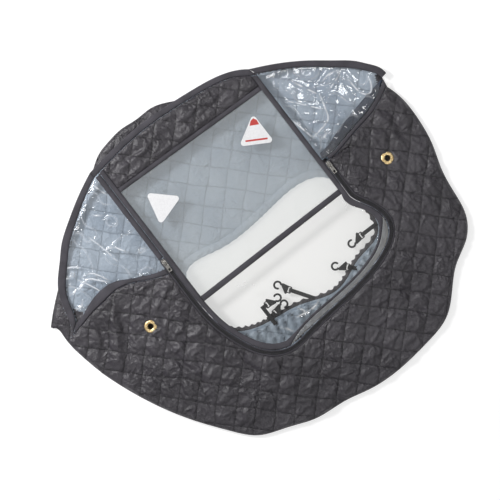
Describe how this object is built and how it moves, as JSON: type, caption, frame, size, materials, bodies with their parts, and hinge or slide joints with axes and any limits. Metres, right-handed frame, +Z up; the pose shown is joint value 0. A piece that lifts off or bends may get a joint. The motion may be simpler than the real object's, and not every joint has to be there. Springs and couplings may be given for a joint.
{
  "type": "quilted stroller weather cover",
  "caption": "Quilted stroller cover lying flat: zipped window flap, clear side windows, brass eyelets, and hooks on an elasticated hem.",
  "frame": {"origin": "middle of the footprint, on the surface that the cover lies on", "axes": "+X across the front panel, +Y towards the mouth at the top hem, +Z up out of the front panel"},
  "size_m": [0.843, 0.722, 0.0368],
  "materials": {
    "quilt_fabric": "matt woven polyester, diamond quilted",
    "lining_fabric": "smooth woven lining, diamond quilted",
    "binding_tape": "ribbed polyester binding tape with a stitch line",
    "clear_film": "clear crinkled vinyl film",
    "frosted_film": "slightly milky vinyl film",
    "gusset_film": "folded vinyl film",
    "brass": "plated, lightly worn",
    "elastic": "woven flat elastic",
    "zip_nylon": "nylon coil on woven tape",
    "zip_metal": "satin nickel plating",
    "hook_plastic": "black moulded nylon",
    "webbing": "narrow woven elastic webbing",
    "sticker_film": "white film with plain red blocks on one"
  },
  "bodies": {
    "shell": {"back_quilt": "quilt_fabric", "back_lining": "lining_fabric", "hem_casing": "binding_tape", "hem_elastic": "elastic", "skirt_quilt": "quilt_fabric", "skirt_lining": "lining_fabric", "eyelet_left": "brass", "eyelet_right": "brass", "eyelet_washer_left": "brass", "eyelet_washer_right": "brass", "side_window_left": "clear_film", "side_window_right": "clear_film", "side_hem_tape_left": "binding_tape", "side_hem_tape_right": "binding_tape", "seam_tape_left": "binding_tape", "seam_tape_right": "binding_tape", "facing_right": "quilt_fabric", "band_quilt": "quilt_fabric", "band_lining": "lining_fabric", "top_hem_tape": "binding_tape", "head_tape": "binding_tape", "side_tape_left": "binding_tape", "side_tape_right": "binding_tape", "wing_tape_left": "binding_tape", "window_upper": "frosted_film", "sticker_left": "sticker_film", "sticker_right": "sticker_film", "zip_tape_outer": "zip_nylon", "zip_coil_outer": "zip_nylon", "zip_stops_outer": "zip_metal", "hook_webbing_1": "webbing", "hook_webbing_2": "webbing", "hook_webbing_3": "webbing", "hook_webbing_4": "webbing", "hook_webbing_5": "webbing"},
    "window_flap": {"window_middle": "frosted_film", "crossbar_tape": "binding_tape", "window_lower": "clear_film", "flap_tape": "binding_tape", "gusset_strip": "gusset_film", "zip_tape_inner": "zip_nylon", "zip_coil_inner": "zip_nylon", "zip_stops_inner": "zip_metal"},
    "slider_left": {"slider_left": "zip_metal"},
    "slider_right": {"slider_right": "zip_metal"},
    "pull_left": {"slider_pull_left": "zip_metal"},
    "pull_right": {"slider_pull_right": "zip_metal"},
    "hook_1": {"hook_1": "hook_plastic"},
    "hook_2": {"hook_2": "hook_plastic"},
    "hook_3": {"hook_3": "hook_plastic"},
    "hook_4": {"hook_4": "hook_plastic"},
    "hook_5": {"hook_5": "hook_plastic"}
  },
  "joints": [
    {"name": "flap_fold", "type": "hinge", "parent": "shell", "child": "window_flap", "pos_m": [0.028, 0.09, 0.0335], "axis": [-0.9954, 0.0953, 0], "range_deg": [0, 150]},
    {"name": "zip_left", "type": "slide", "parent": "window_flap", "child": "slider_left", "axis": [0, -1, 0], "range_m": [0, 0.1]},
    {"name": "zip_right", "type": "slide", "parent": "window_flap", "child": "slider_right", "axis": [0, -1, 0], "range_m": [0, 0.056]},
    {"name": "pull_left_swing", "type": "hinge", "parent": "slider_left", "child": "pull_left", "pos_m": [-0.1591, 0.094, 0.0346], "axis": [-1, 0, 0], "range_deg": [0, 160]},
    {"name": "pull_right_swing", "type": "hinge", "parent": "slider_right", "child": "pull_right", "pos_m": [0.2181, 0.05, 0.0346], "axis": [-1, 0, 0], "range_deg": [0, 160]},
    {"name": "hook_1_swivel", "type": "hinge", "parent": "shell", "child": "hook_1", "pos_m": [0.188, -0.101, 0.0107], "axis": [0, 0, 1], "range_deg": [-15, 15]},
    {"name": "hook_2_swivel", "type": "hinge", "parent": "shell", "child": "hook_2", "pos_m": [0.127, -0.137, 0.0107], "axis": [0, 0, 1], "range_deg": [-15, 15]},
    {"name": "hook_3_swivel", "type": "hinge", "parent": "shell", "child": "hook_3", "pos_m": [0.006, -0.102, 0.0107], "axis": [0, 0, 1], "range_deg": [-15, 15]},
    {"name": "hook_4_swivel", "type": "hinge", "parent": "shell", "child": "hook_4", "pos_m": [-0.052, -0.096, 0.0153], "axis": [0, 0, 1], "range_deg": [-15, 15]},
    {"name": "hook_5_swivel", "type": "hinge", "parent": "shell", "child": "hook_5", "pos_m": [-0.049, -0.119, 0.0107], "axis": [0, 0, 1], "range_deg": [-15, 15]}
  ]
}
